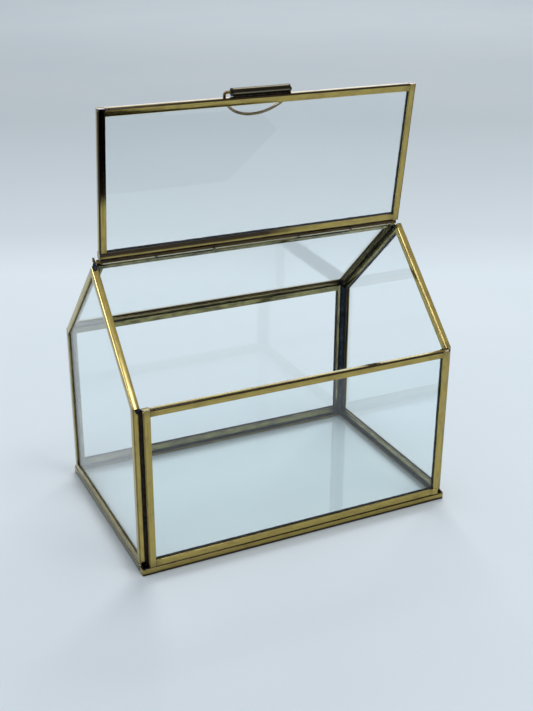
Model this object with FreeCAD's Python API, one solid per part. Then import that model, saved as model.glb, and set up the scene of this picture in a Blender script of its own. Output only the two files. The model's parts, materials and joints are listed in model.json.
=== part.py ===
import FreeCAD, Part
import math
import os

# Gabled glass card box with a hinged roof lid, modelled with the lid standing open.
# Axes: +X to the right along the ridge, +Y to the back, +Z up.
# Origin: centre of the underside of the base. Lengths are millimetres, angles are degrees.

# Box
LENGTH = 250.0            # over the two gables
DEPTH = 165.0             # over the front and back panes
EAVE_HEIGHT = 127.5       # top of the front and back panes
RIDGE_HEIGHT = 202.3      # apex of the gables
GLASS_THICK = 3.0

# Brass edging: a channel folded round the edge of each pane
CAME_FACE = 5.2           # visible width on the pane
CAME_THICK = 5.2          # over both faces
CAME_ROUND = 0.8          # outer corners of the channel
CAME_LIP_ROUND = 0.35     # free edges of the channel
SLOT_FLOOR = 1.0          # brass behind the glass edge
GLASS_EDGE_GAP = 0.2      # from the glass edge to the bottom of the slot
BASE_FACE = 8.2           # the floor's channel is wider, so that it shows inside the walls
BASE_CORNER = 2.0         # rounded corners of the base, seen from above

# Solder
SEAM = 0.7                # bed of solder between the base and the walls
SEAM_SETBACK = 0.8        # the bed lies this far behind the outer faces
FILLET = 2.4              # legs of the solder fillets in the corners

# Lid
LID_GAP = 0.4             # from the lid to each gable
LID_START = 1.2           # from the ridge line to the lid's hinged edge, down the slope
LID_LENGTH = 106.0        # from its hinged edge to its free edge
ROOF_START = 1.6          # from the ridge line to the rear roof pane, down the slope
OPEN_ANGLE = 126.5        # turned up and back from closed

# Ridge hinge: five knuckles on one wire pin
HINGE_OFFSET = 2.2        # from the lid's hinged edge to the pin, along the lid
KNUCKLE_RADIUS = 1.9
PIN_RADIUS = 0.8
RUNNING_GAP = 0.05        # radial clearance where a part turns on a wire
KNUCKLE_ENDS = (-118.0, -78.0, -34.0, 34.0, 78.0, 118.0)
KNUCKLE_GAP = 0.3         # from knuckle to knuckle
PIN_TIP_BEND = 1.6        # bend radius at the pin's turned-up left end
PIN_TIP_RISE = 2.2        # straight length of the turned-up end

# Rolled handle tube and its wire bail, on the lid's free edge
HANDLE_X = -3.0
HANDLE_LENGTH = 43.5
HANDLE_RADIUS = 3.1
HANDLE_OUTWARD = 4.7      # from the lid's inner face to the tube's axis
ROLL_SEAM_WIDTH = 0.5
ROLL_SEAM_DEPTH = 0.8
WIRE_RADIUS = 0.75
BAIL_X = -4.6
BAIL_HALF_WIDTH = 24.6
BAIL_DEPTH = 21.5
BAIL_CORNER = 1.2         # bend from the pivot into the loop
BAIL_SIDE_RADIUS = 15.0
BAIL_LEAN = 26.0          # from the lid's outer face
BAIL_INSERT = 12.0        # length of each wire end inside the tube

V = FreeCAD.Vector
X_AXIS = V(1, 0, 0)
Y_AXIS = V(0, 1, 0)
Z_AXIS = V(0, 0, 1)

# Derived places
half_x = LENGTH / 2
half_y = DEPTH / 2
inner_x = half_x - CAME_THICK           # inner faces of the gables
inner_y = half_y - CAME_THICK           # inner faces of the front and back panes
wall_bottom = CAME_THICK + SEAM
slope = math.atan2(RIDGE_HEIGHT - EAVE_HEIGHT, inner_y)
rafter_length = math.hypot(RIDGE_HEIGHT - EAVE_HEIGHT, inner_y)
ridge = V(0, 0, RIDGE_HEIGHT)
front_down = V(0, -math.cos(slope), -math.sin(slope))
front_out = V(0, -math.sin(slope), math.cos(slope))
back_down = V(0, math.cos(slope), -math.sin(slope))
back_out = V(0, math.sin(slope), math.cos(slope))
hinge_axis = ridge + front_down * (LID_START - HINGE_OFFSET) + front_out * (CAME_THICK / 2)

os.makedirs("parts", exist_ok=True)


def save(name, shapes):
    """Write one node: a single solid, or several separate ones."""
    if not isinstance(shapes, list):
        shapes = [shapes]
    solids = [solid for shape in shapes for solid in shape.Solids]
    for solid in solids:
        if not solid.isValid() or solid.Volume <= 0:
            raise ValueError("bad solid in " + name)
    shape = solids[0] if len(solids) == 1 else Part.makeCompound(solids)
    shape.exportStep("parts/" + name + ".step")


def polygon_prism(points, direction):
    """Extrude the polygon through the points along direction."""
    return Part.Face(Part.makePolygon(list(points) + [points[0]])).extrude(direction)


def rod(start, direction, length, radius):
    return Part.makeCylinder(radius, length, start, direction)


def tube(start, direction, length, radius, bore):
    return rod(start, direction, length, radius).cut(rod(start, direction, length, bore))


def turned(shape, degrees):
    """A copy of the shape turned about the hinge pin."""
    copy = shape.copy()
    copy.rotate(hinge_axis, X_AXIS, degrees)
    return copy


# ---------------------------------------------------------------- framed panes
# A pane is drawn in its own plane, x across and y up, and is CAME_THICK thick along z.

def pane_placement(origin, across, up):
    out = across.cross(up)
    return FreeCAD.Placement(FreeCAD.Matrix(
        across.x, up.x, out.x, origin.x,
        across.y, up.y, out.y, origin.y,
        across.z, up.z, out.z, origin.z,
        0, 0, 0, 1))


def rectangle(half_width, low, high):
    return [V(-half_width, low, 0), V(half_width, low, 0), V(half_width, high, 0), V(-half_width, high, 0)]


def side_direction(points, index):
    return (points[(index + 1) % len(points)] - points[index]).normalize()


def inward(direction):
    """To the left of a side, which is inwards on an outline drawn anticlockwise."""
    return V(-direction.y, direction.x, 0)


def crossing(point, direction, other_point, other_direction):
    gap = other_point - point
    turn = direction.x * other_direction.y - direction.y * other_direction.x
    return point + direction * ((gap.x * other_direction.y - gap.y * other_direction.x) / turn)


def inset_corner(points, index, before_distance, after_distance):
    """The corner moved inwards by one distance from each of its two sides."""
    before = side_direction(points, index - 1)
    after = side_direction(points, index)
    return crossing(points[index] + inward(before) * before_distance, before,
                    points[index] + inward(after) * after_distance, after)


def channel_section(start, direction, face):
    """U section of the brass channel, open towards the inside of the pane."""
    across = inward(direction)
    lip = (CAME_THICK - GLASS_THICK) / 2
    top = CAME_THICK
    big = CAME_ROUND
    small = CAME_LIP_ROUND
    rest = 1 - math.sqrt(0.5)

    def at(inset, height):
        return start + across * inset + V(0, 0, height)

    def line(*ends):
        return Part.makePolygon([at(*end) for end in ends]).Edges

    def arc(first, middle, last):
        return [Part.Arc(at(*first), at(*middle), at(*last)).toShape()]

    edges = arc((0, big), (big * rest, big * rest), (big, 0))
    edges += line((big, 0), (face - small, 0))
    edges += arc((face - small, 0), (face - small * rest, small * rest), (face, small))
    edges += line((face, small), (face, lip), (SLOT_FLOOR, lip), (SLOT_FLOOR, top - lip),
                  (face, top - lip), (face, top - small))
    edges += arc((face, top - small), (face - small * rest, top - small * rest), (face - small, top))
    edges += line((face - small, top), (big, top))
    edges += arc((big, top), (big * rest, top - big * rest), (0, top - big))
    edges += line((0, top - big), (0, big))
    return Part.Face(Part.Wire(edges))


def channel_strip(points, index, corners, face):
    """One strip of edging. A corner is mitred, or the strip before or after it runs through."""
    last = (index + 1) % len(points)
    direction = side_direction(points, index)
    start = inset_corner(points, index, face if corners[index] == "before" else 0, 0)
    end = inset_corner(points, last, 0, face if corners[last] == "after" else 0)
    inner_start = inset_corner(points, index, 0 if corners[index] == "after" else face, face)
    inner_end = inset_corner(points, last, face, 0 if corners[last] == "before" else face)
    outline = polygon_prism([start, end, inner_end, inner_start], V(0, 0, CAME_THICK))
    run = channel_section(points[index], direction, face).extrude(points[last] - points[index])
    return run.common(outline)


def framed_pane(prefix, sides, points, corners, placement, face=CAME_FACE, outline=None):
    """The strips of edging and the glass of one pane, by node name."""
    parts = {}
    for index, side in enumerate(sides):
        strip = channel_strip(points, index, corners, face)
        parts[prefix + "_came_" + side] = strip if outline is None else strip.common(outline)
    edge = SLOT_FLOOR + GLASS_EDGE_GAP
    glass = polygon_prism([inset_corner(points, i, edge, edge) for i in range(len(points))], V(0, 0, GLASS_THICK))
    glass.translate(V(0, 0, (CAME_THICK - GLASS_THICK) / 2))
    parts[prefix + "_glass"] = glass
    for part in parts.values():
        part.Placement = placement.multiply(part.Placement)
    return parts


def base_outline():
    """The base seen from above, with its four rounded corners."""
    block = Part.makeBox(LENGTH, DEPTH, CAME_THICK, V(-half_x, -half_y, 0))
    upright = [edge for edge in block.Edges if abs(edge.tangentAt(edge.FirstParameter).z) > 0.9]
    return block.makeFillet(BASE_CORNER, upright)


def walls_and_roof():
    """Every framed pane that is fixed."""
    parts = framed_pane("base", ("front", "right", "back", "left"),
                        [V(-half_x, -half_y, 0), V(half_x, -half_y, 0), V(half_x, half_y, 0), V(-half_x, half_y, 0)],
                        ("after", "before", "after", "before"),
                        pane_placement(V(0, 0, 0), X_AXIS, Y_AXIS), BASE_FACE, base_outline())
    wall = rectangle(inner_x, wall_bottom, EAVE_HEIGHT)
    wall_sides = ("bottom", "right", "top", "left")
    wall_corners = ("before", "after", "before", "after")
    parts.update(framed_pane("front", wall_sides, wall, wall_corners,
                             pane_placement(V(0, -inner_y, 0), X_AXIS, Z_AXIS)))
    parts.update(framed_pane("back", wall_sides, wall, wall_corners,
                             pane_placement(V(0, half_y, 0), X_AXIS, Z_AXIS)))
    gable = [V(-inner_y, wall_bottom, 0), V(inner_y, wall_bottom, 0), V(inner_y, EAVE_HEIGHT, 0),
             V(0, RIDGE_HEIGHT, 0), V(-inner_y, EAVE_HEIGHT, 0)]
    gable_sides = ("bottom", "back_post", "back_rafter", "front_rafter", "front_post")
    for prefix, x in (("left_gable", -half_x), ("right_gable", inner_x)):
        parts.update(framed_pane(prefix, gable_sides, gable, ["mitre"] * 5,
                                 pane_placement(V(x, 0, 0), Y_AXIS, Z_AXIS)))
    rear = rectangle(inner_x, 0, rafter_length - ROOF_START)
    eave = ridge + back_down * rafter_length + back_out * CAME_THICK
    parts.update(framed_pane("rear_roof", ("eave", "right", "ridge", "left"), rear, wall_corners,
                             pane_placement(eave, X_AXIS, back_down * -1)))
    return parts


# ---------------------------------------------------------------- solder

def seam_solder():
    """Bed and inner fillet along the foot of each wall."""
    outer = CAME_THICK - SEAM_SETBACK
    section = [(-outer, CAME_THICK), (FILLET, CAME_THICK), (0, wall_bottom + FILLET), (0, wall_bottom), (-outer, wall_bottom)]
    front = polygon_prism([V(-inner_x, -inner_y + inset, z) for inset, z in section], X_AXIS * (2 * inner_x))
    side = polygon_prism([V(-inner_x + inset, -inner_y, z) for inset, z in section], Y_AXIS * (2 * inner_y))
    back = front.mirror(V(0, 0, 0), Y_AXIS)
    left = side.cut(front).cut(back)
    return [front, back, left, left.mirror(V(0, 0, 0), X_AXIS)]


def four_corners(shape):
    """The shape and its reflections in the two middle planes."""
    pair = [shape, shape.mirror(V(0, 0, 0), X_AXIS)]
    return pair + [one.mirror(V(0, 0, 0), Y_AXIS) for one in pair]


def corner_solder(inside):
    """Upright fillets where the four walls meet, inside the box or in the outer grooves."""
    leg = FILLET if inside else -FILLET
    foot = wall_bottom + (FILLET if inside else 0)
    corner = V(-inner_x, -inner_y, foot)
    section = [corner, corner + V(leg, 0, 0), corner + V(0, leg, 0)]
    return four_corners(polygon_prism(section, Z_AXIS * (EAVE_HEIGHT - foot)))


def eave_solder(inside):
    """Fillets along the rear eave, between the back pane and the rear roof pane."""
    eave = V(0, inner_y, EAVE_HEIGHT)
    length = inner_x - FILLET
    if inside:
        section = [eave, eave - Z_AXIS * FILLET, eave - back_down * FILLET]
    else:
        section = [eave, eave + Y_AXIS * FILLET, eave + back_out * FILLET]
    return polygon_prism([point - X_AXIS * length for point in section], X_AXIS * (2 * length))


def rafter_solder():
    """Fillets along the rear rafters, under and over the joint of the roof pane and each gable."""
    top = ridge + back_down * ROOF_START + X_AXIS * inner_x
    run = back_down * (rafter_length - ROOF_START - FILLET)
    under = polygon_prism([top, top - X_AXIS * FILLET, top - back_out * FILLET], run)
    over = polygon_prism([top, top + X_AXIS * FILLET, top + back_out * FILLET], run)
    right = [under, over]
    return right + [shape.mirror(V(0, 0, 0), X_AXIS) for shape in right]


# ---------------------------------------------------------------- lid, hinge, handle and bail
# These are laid out with the lid closed on the front slope, and turned open when they are saved.

def lid_pane():
    hinged_edge = ridge + front_down * LID_START + front_out * CAME_THICK
    points = rectangle(inner_x - LID_GAP, 0, LID_LENGTH)
    return framed_pane("lid", ("hinge_edge", "right", "free_edge", "left"), points,
                       ("after", "after", "before", "after"), pane_placement(hinged_edge, X_AXIS, front_down))


def knuckle_spans():
    """Start and length of the five knuckles, from left to right."""
    spans = []
    for start, end in zip(KNUCKLE_ENDS, KNUCKLE_ENDS[1:]):
        spans.append((start + KNUCKLE_GAP / 2, end - start - KNUCKLE_GAP))
    return spans


def knuckle(span, bore):
    start, length = span
    return tube(hinge_axis + X_AXIS * start, X_AXIS, length, KNUCKLE_RADIUS, bore)


def knuckle_solder(span, down, out, reach, half_thick):
    """Solder from a knuckle to the edging that carries it."""
    start, length = span
    corner = hinge_axis + X_AXIS * start - out * half_thick
    block = polygon_prism([corner, corner + down * reach, corner + down * reach + out * (2 * half_thick),
                           corner + out * (2 * half_thick)], X_AXIS * length)
    return block.cut(rod(hinge_axis + X_AXIS * start, X_AXIS, length, KNUCKLE_RADIUS))


def hinge_pin():
    """Wire pin, with its left end turned up past the gable."""
    right = hinge_axis + X_AXIS * (KNUCKLE_ENDS[-1] + KNUCKLE_GAP)
    bend = hinge_axis - X_AXIS * (inner_x + PIN_TIP_BEND)
    middle = bend + V(-math.sin(math.pi / 4), 0, 1 - math.cos(math.pi / 4)) * PIN_TIP_BEND
    top = bend + V(-PIN_TIP_BEND, 0, PIN_TIP_BEND)
    path = Part.Wire([Part.makeLine(right, bend), Part.Arc(bend, middle, top).toShape(),
                      Part.makeLine(top, top + Z_AXIS * PIN_TIP_RISE)])
    section = Part.Wire(Part.makeCircle(PIN_RADIUS, right, X_AXIS))
    return path.makePipeShell([section], True, True)


def apex_solder(pin, fixed):
    """Spike of solder that holds the pin's left end on the left gable's apex."""
    foot = V(-half_x + CAME_THICK / 2, hinge_axis.y, RIDGE_HEIGHT - 3.0)
    lump = Part.makeCone(2.3, 0.7, 8.0, foot, Z_AXIS)
    lump = lump.common(Part.makeBox(CAME_THICK, 10, 20, V(-half_x, -5, RIDGE_HEIGHT - 5)))
    for name in ("left_gable_came_front_rafter", "left_gable_came_back_rafter", "left_gable_glass"):
        lump = lump.cut(fixed[name])
    solids = lump.cut(pin).Solids
    return max(solids, key=lambda solid: solid.Volume)


def handle_axis_point(x):
    return (ridge + front_down * (LID_START + LID_LENGTH + HANDLE_RADIUS)
            + front_out * HANDLE_OUTWARD + X_AXIS * x)


def handle_tube():
    """Tube rolled from sheet, with its seam facing the inside of the lid."""
    start = handle_axis_point(HANDLE_X - HANDLE_LENGTH / 2)
    roll = tube(start, X_AXIS, HANDLE_LENGTH, HANDLE_RADIUS, WIRE_RADIUS + RUNNING_GAP)
    half = front_down * (ROLL_SEAM_WIDTH / 2)
    top = start - front_out * (HANDLE_RADIUS - ROLL_SEAM_DEPTH)
    bottom = start - front_out * (HANDLE_RADIUS + 1)
    return roll.cut(polygon_prism([top - half, bottom - half, bottom + half, top + half], X_AXIS * HANDLE_LENGTH))


def handle_solder():
    """Bead that holds the handle tube on the lid's free edge."""
    start = handle_axis_point(HANDLE_X - HANDLE_LENGTH / 2 + 1)
    length = HANDLE_LENGTH - 2
    edge = start - front_down * HANDLE_RADIUS
    bead = polygon_prism([edge - front_out * 2.6, edge, edge + front_down * 1.9 - front_out * 1.9], X_AXIS * length)
    return bead.cut(rod(start, X_AXIS, length, HANDLE_RADIUS))


def bail_path():
    """Centre line of the bail in its own plane: x along the pivot, y away from it."""
    side = BAIL_HALF_WIDTH
    depth = BAIL_DEPTH - BAIL_CORNER
    bottom_radius = (side ** 2 + depth ** 2 - 2 * side * BAIL_SIDE_RADIUS) / (2 * (depth - BAIL_SIDE_RADIUS))
    bottom_centre = V(0, BAIL_DEPTH - bottom_radius, 0)
    side_centre = V(-side + BAIL_SIDE_RADIUS, BAIL_CORNER, 0)
    corner_centre = V(-side + BAIL_CORNER, BAIL_CORNER, 0)
    joint = side_centre + (side_centre - bottom_centre).normalize() * BAIL_SIDE_RADIUS
    leg = V(-side, BAIL_CORNER, 0)
    pivot = V(-side + BAIL_CORNER, 0, 0)
    corner_middle = corner_centre + V(-1, -1, 0).normalize() * BAIL_CORNER
    side_middle = side_centre + (leg + joint - side_centre * 2).normalize() * BAIL_SIDE_RADIUS
    tube_end = HANDLE_X - HANDLE_LENGTH / 2 - BAIL_X

    def mirrored(point):
        return V(-point.x, point.y, 0)

    left_end = V(tube_end + BAIL_INSERT, 0, 0)
    right_end = V(tube_end + HANDLE_LENGTH - BAIL_INSERT, 0, 0)
    return left_end, Part.Wire([
        Part.makeLine(left_end, pivot),
        Part.Arc(pivot, corner_middle, leg).toShape(),
        Part.Arc(leg, side_middle, joint).toShape(),
        Part.Arc(joint, V(0, BAIL_DEPTH, 0), mirrored(joint)).toShape(),
        Part.Arc(mirrored(joint), mirrored(side_middle), mirrored(leg)).toShape(),
        Part.Arc(mirrored(leg), mirrored(corner_middle), mirrored(pivot)).toShape(),
        Part.makeLine(mirrored(pivot), right_end)])


def bail():
    """Bent wire loop, leaning off the lid's outer face."""
    left_end, path = bail_path()
    section = Part.Wire(Part.makeCircle(WIRE_RADIUS, left_end, X_AXIS))
    loop = path.makePipeShell([section], True, True)
    lean = math.radians(BAIL_LEAN)
    away = front_down * -math.cos(lean) + front_out * math.sin(lean)
    loop.Placement = pane_placement(handle_axis_point(BAIL_X), X_AXIS, away)
    expected = math.pi * WIRE_RADIUS ** 2 * path.Length
    print("bail volume", round(loop.Volume, 2), "section times length", round(expected, 2))
    return loop


def main():
    fixed = walls_and_roof()
    for name, shape in fixed.items():
        save(name, shape)
    save("floor_seam_solder", seam_solder())
    save("inner_corner_solder", corner_solder(True))
    save("outer_corner_solder", corner_solder(False))
    save("rear_eave_solder", [eave_solder(True), eave_solder(False)])
    save("rear_rafter_solder", rafter_solder())

    spans = knuckle_spans()
    reach = ridge + back_down * ROOF_START - hinge_axis
    for side, span in (("left", spans[1]), ("right", spans[3])):
        save("ridge_knuckle_" + side, knuckle(span, PIN_RADIUS))
    save("ridge_knuckle_solder",
         [knuckle_solder(span, back_down, back_out, reach.dot(back_down), 1.0) for span in (spans[1], spans[3])])
    pin = hinge_pin()
    save("hinge_pin", pin)
    save("apex_solder", apex_solder(pin, fixed))

    lid = lid_pane()
    for side, span in (("left", spans[0]), ("middle", spans[2]), ("right", spans[4])):
        lid["lid_knuckle_" + side] = knuckle(span, PIN_RADIUS + RUNNING_GAP)
    lid["handle_tube"] = handle_tube()
    lid["handle_solder"] = handle_solder()
    lid["bail"] = bail()
    for name, shape in lid.items():
        save(name, turned(shape, -OPEN_ANGLE))
    save("lid_knuckle_solder",
         [turned(knuckle_solder(span, front_down, front_out, HINGE_OFFSET, 1.4), -OPEN_ANGLE)
          for span in (spans[0], spans[2], spans[4])])

    pivot = turned(Part.Vertex(handle_axis_point(0)), -OPEN_ANGLE).Point
    print("hinge axis", hinge_axis, "handle axis", pivot, "nodes", len(os.listdir("parts")))


main()
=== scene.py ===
import json
import math

import bmesh
import bpy
from mathutils import Matrix, Vector, noise

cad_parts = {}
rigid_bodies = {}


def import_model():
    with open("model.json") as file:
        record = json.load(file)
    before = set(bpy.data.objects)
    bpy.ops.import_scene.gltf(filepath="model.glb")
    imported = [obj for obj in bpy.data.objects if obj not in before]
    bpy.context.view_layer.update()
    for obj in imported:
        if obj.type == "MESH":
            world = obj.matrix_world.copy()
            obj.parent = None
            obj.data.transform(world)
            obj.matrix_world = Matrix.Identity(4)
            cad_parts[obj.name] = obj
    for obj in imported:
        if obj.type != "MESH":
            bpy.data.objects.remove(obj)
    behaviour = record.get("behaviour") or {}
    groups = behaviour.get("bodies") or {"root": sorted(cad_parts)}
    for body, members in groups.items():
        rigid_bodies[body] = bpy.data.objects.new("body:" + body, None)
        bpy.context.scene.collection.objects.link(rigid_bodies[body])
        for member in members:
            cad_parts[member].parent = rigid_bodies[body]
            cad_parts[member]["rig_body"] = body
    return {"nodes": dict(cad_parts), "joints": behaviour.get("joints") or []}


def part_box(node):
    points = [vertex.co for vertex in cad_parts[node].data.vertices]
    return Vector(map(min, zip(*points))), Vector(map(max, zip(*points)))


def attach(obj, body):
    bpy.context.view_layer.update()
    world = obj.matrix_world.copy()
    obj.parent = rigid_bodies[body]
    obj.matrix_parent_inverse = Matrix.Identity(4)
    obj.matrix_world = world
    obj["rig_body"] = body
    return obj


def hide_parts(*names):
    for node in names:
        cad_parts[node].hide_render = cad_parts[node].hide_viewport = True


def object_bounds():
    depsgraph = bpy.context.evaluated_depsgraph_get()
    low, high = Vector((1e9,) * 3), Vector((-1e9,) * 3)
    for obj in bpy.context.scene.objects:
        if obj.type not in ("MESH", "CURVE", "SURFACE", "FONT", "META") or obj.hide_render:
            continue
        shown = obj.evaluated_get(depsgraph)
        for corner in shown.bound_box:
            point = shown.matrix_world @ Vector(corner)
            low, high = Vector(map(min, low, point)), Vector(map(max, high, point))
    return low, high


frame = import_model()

# Glass card box with brass edging: the looks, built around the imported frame. Lengths are metres.
MM = 0.001
SHARP_ANGLE = math.radians(34)
X_AXIS = Vector((1, 0, 0))
Y_AXIS = Vector((0, 1, 0))
Z_AXIS = Vector((0, 0, 1))

cad_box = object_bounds()
CENTRE = (cad_box[0] + cad_box[1]) / 2

# ---------------------------------------------------------------- places, read from the frame
post_low, post_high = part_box("left_gable_came_front_post")
INNER_X = -post_high.x                  # inner faces of the gables
INNER_Y = -post_low.y                   # inner faces of the front and back panes
WALL_FOOT = post_low.z
EAVE = post_high.z
CAME = post_high.x - post_low.x         # thickness of the edging
HALF = CAME / 2
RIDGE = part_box("left_gable_came_front_rafter")[1].z
BASE_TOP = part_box("base_came_front")[1].z
BASE_LIP = 3.0 * MM                     # the base's edging shows this far inside the walls
BASE_TRIM = 1.2 * MM                    # rubbed off the inner lip of the base's edging
UNDER_TRIM = 3.4 * MM                   # and its lower leaf stops this far short, under the glass
BACK_DOWN = Vector((0, INNER_Y, EAVE - RIDGE)).normalized()
BACK_OUT = Vector((0, -BACK_DOWN.z, BACK_DOWN.y))
JOINT_AT = {joint["name"]: Vector(joint["pos_m"]) for joint in frame["joints"]}

# Edging. A point of a strip is (s, u, w): along it, in from its outer edge, and across the pane.
WEB = 1.0 * MM                          # thickness of the channel's outer wall
SLOT_HALF = 1.5 * MM                    # half the glass thickness that the channel holds
SLOT_FLOOR = 1.2 * MM                   # from the strip's outer edge to the edge of the glass
STRIP_STEP = 4.0 * MM                   # length of one quad along a strip
ARRIS = 1.25 * MM                       # radius of the channel's two folded corners
LID_DARK_REFLECTION = 0.6                              # how dark the painted dark reflection on the lid's inside is where its mask is 1
DARK_REFLECTION_FADE_X = (-20 * MM, 70 * MM)       # the hinge strip's painted dark reflection fades out along X
DARK_REFLECTION_FADE_Z = (240 * MM, 260 * MM)      # and the left strip's downward
# Strips whose outer faces are dulled too
GREYED = ("base_came_left", "left_gable_came_bottom", "left_gable_came_back_post")
TIGHT_ARRIS = 0.7 * MM                  # of the wall strips' lower corners and of the base
FOOT_DROP = 0.10 * MM                   # the walls' lowest strips sag this far toward the base
CROWN = 0.05 * MM                       # the rolled faces bulge this much
BOW = 0.08 * MM                         # slow wander of a strip out of line
RIPPLE = 0.025 * MM                     # small unevenness of the faces
END_GAP = 0.13 * MM                     # a cut end stands this far off its neighbour
CEMENT_TALL = 0.75 * MM                 # cement left on the glass beside the back lip
CEMENT_LOW = 0.14 * MM                  # and beside the front lip and on the base
CEMENT_STEP = 2.5 * MM
STAIN_REACH = 6 * MM                    # the solder's stains fade out this far from a strip's end
UNSTAINED = 20 * MM                     # the distance from an end given to brass without stains
LIP_SHADE = 0.8                          # painted shade on the lips inside the box
GRAIN_SHIFT = 0.31                      # metres between the grain of one strip and the next

# Solder: the legs of a bead are its reach along each of the two faces.
CORNERS = [(sx, sy) for sx in (-1, 1) for sy in (-1, 1)]     # where two walls meet: signs of x and y
BEAD_STEP = 1.2 * MM
SEAM_LEGS = (0.2 * MM + WALL_FOOT - BASE_TOP, BASE_LIP - BASE_TRIM + 0.45 * MM)
BED_DEPTH = CAME - 0.9 * MM
BED_OVERRUN = 3.5 * MM                  # the beds run on past the inside corners
INNER_LEGS = (3.1 * MM, 5.0 * MM)
GROOVE_LEGS = (4.4 * MM, 1.25 * MM)
EAVE_INSIDE_LEGS = (0.8 * MM, 0.8 * MM)
EAVE_OUTSIDE_LEGS = (2.9 * MM, 2.9 * MM)
RAFTER_UNDER_LEGS = (1.5 * MM, 1.3 * MM)
RAFTER_OVER_LEGS = (2.6 * MM, 3.2 * MM)
TOP_LUMP = Vector((1.9, 2.0, 1.5))      # radii in millimetres
DRIP = Vector((0.6, 0.8, 0.8))
REMESH_VOXEL = 0.3 * MM
LUMP_SWELL = 0.22 * MM
LUMP_SIZE = 2.5 * MM

# Hinge and handle
ROLL_STEP = 1.5 * MM
ARC_STEPS = 40                          # in a full turn
BARREL_BORE = 0.86 * MM
BARREL_SLIT = 0.22 * MM
BARREL_SEAM = math.radians(200)
SCROLL_BORE = 0.95 * MM
SCROLL_SHEET = 0.55 * MM
SCROLL_GAP = 0.08 * MM
SCROLL_SEAM = math.radians(186)
BAIL_GROWTH = 0.3 * MM                  # on the CAD wire's radius


def noise_at(x, y=0.0, z=0.0):
    return noise.noise(Vector((x, y, z)))


def smooth_step(value, low, high):
    t = min(max((value - low) / (high - low), 0.0), 1.0)
    return t * t * (3 - 2 * t)


# ---------------------------------------------------------------- making pieces

def body_of(node):
    return frame["nodes"][node]["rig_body"]


def shade(mesh):
    """Smooth shading that keeps the sharp edges."""
    mesh.polygons.foreach_set("use_smooth", [True] * len(mesh.polygons))
    mesh.set_sharp_from_angle(angle=SHARP_ANGLE)


def new_object(name, data):
    made = bpy.data.objects.new(name, data)
    bpy.context.scene.collection.objects.link(made)
    return made


def mesh_object(name, bm, materials):
    """Turn the bmesh into an object with these materials."""
    mesh = bpy.data.meshes.new(name)
    bm.to_mesh(mesh)
    bm.free()
    for material in materials:
        mesh.materials.append(material)
    return new_object(name, mesh)


def make_piece(name, bm, node, materials, weighted=True):
    """Turn the bmesh into a piece that stands for the CAD node and rides on its body."""
    piece = mesh_object(name, bm, materials)
    shade(piece.data)
    if weighted:
        normals = piece.modifiers.new("face_normals", "WEIGHTED_NORMAL")
        normals.keep_sharp = True
    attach(piece, body_of(node))
    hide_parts(node)
    return piece


def skin(bm, rings):
    """Join each closed ring of vertices to the next, and return the new faces."""
    faces = []
    for first, second in zip(rings, rings[1:]):
        for i in range(len(first)):
            j = (i + 1) % len(first)
            faces.append(bm.faces.new((first[i], first[j], second[j], second[i])))
    return faces


def node_bmesh(node):
    """A copy of the CAD node's mesh, welded, with its flat faces whole."""
    bm = bmesh.new()
    bm.from_mesh(frame["nodes"][node].data)
    bmesh.ops.remove_doubles(bm, verts=bm.verts, dist=1e-6)
    bmesh.ops.dissolve_limit(bm, angle_limit=math.radians(1), verts=bm.verts, edges=bm.edges)
    return bm


def longest_direction(bm):
    """Unit vector along the mesh's longest straight edge."""
    edge = max(bm.edges, key=lambda one: one.calc_length())
    return (edge.verts[1].co - edge.verts[0].co).normalized()


def pane_normal(prefix):
    """Unit normal of a pane, from the largest face of its glass, and the glass's centre."""
    bm = node_bmesh(prefix + "_glass")
    face = max(bm.faces, key=lambda one: one.calc_area())
    normal = face.normal.copy()
    centre = sum((vertex.co for vertex in bm.verts), Vector()) / len(bm.verts)
    bm.free()
    return normal, centre


# ---------------------------------------------------------------- materials

def feed(tree, node, inputs):
    """Link each input to a socket, or set it to a value."""
    for socket, value in inputs.items():
        if isinstance(value, bpy.types.NodeSocket):
            tree.links.new(value, node.inputs[socket])
        else:
            node.inputs[socket].default_value = value


def add(tree, kind, inputs, **settings):
    """Add a node, set its properties and feed its inputs."""
    node = tree.nodes.new(kind)
    for key, value in settings.items():
        setattr(node, key, value)
    feed(tree, node, inputs)
    return node


def new_material(name):
    material = bpy.data.materials.new(name)
    material.use_nodes = True
    tree = material.node_tree
    return material, tree, tree.nodes["Principled BSDF"]


def ramp(tree, factor, stops):
    """A colour ramp; stops are (position, grey value) or (position, (r, g, b))."""
    node = add(tree, "ShaderNodeValToRGB", {"Fac": factor})
    elements = node.color_ramp.elements
    while len(elements) < len(stops):
        elements.new(0.5)
    for element, (position, value) in zip(elements, stops):
        element.position = position
        rgb = (value,) * 3 if isinstance(value, (int, float)) else value
        element.color = (*rgb, 1)
    return node.outputs["Color"]


def mix(tree, factor, first, second, blend="MIX"):
    """Mix two colours; each may be a socket or an (r, g, b) value."""
    first, second = [(*one, 1) if isinstance(one, tuple) else one for one in (first, second)]
    inputs = {0: factor, 6: first, 7: second}
    return add(tree, "ShaderNodeMix", inputs, data_type="RGBA", blend_type=blend).outputs[2]


def math_node(tree, operation, first, second):
    return add(tree, "ShaderNodeMath", {0: first, 1: second}, operation=operation).outputs[0]


def attribute(tree, name, output="Fac"):
    return add(tree, "ShaderNodeAttribute", {}, attribute_name=name).outputs[output]


def coordinate(tree, output="Object"):
    return add(tree, "ShaderNodeTexCoord", {}).outputs[output]


def noise_texture(tree, vector, scale, detail, stretch=(1, 1, 1)):
    """Noise in a vector that is stretched first; scale is in cells per metre."""
    mapped = add(tree, "ShaderNodeMapping", {"Vector": vector, "Scale": stretch})
    inputs = {"Vector": mapped.outputs["Vector"], "Scale": scale, "Detail": detail}
    return add(tree, "ShaderNodeTexNoise", inputs).outputs["Fac"]


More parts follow.
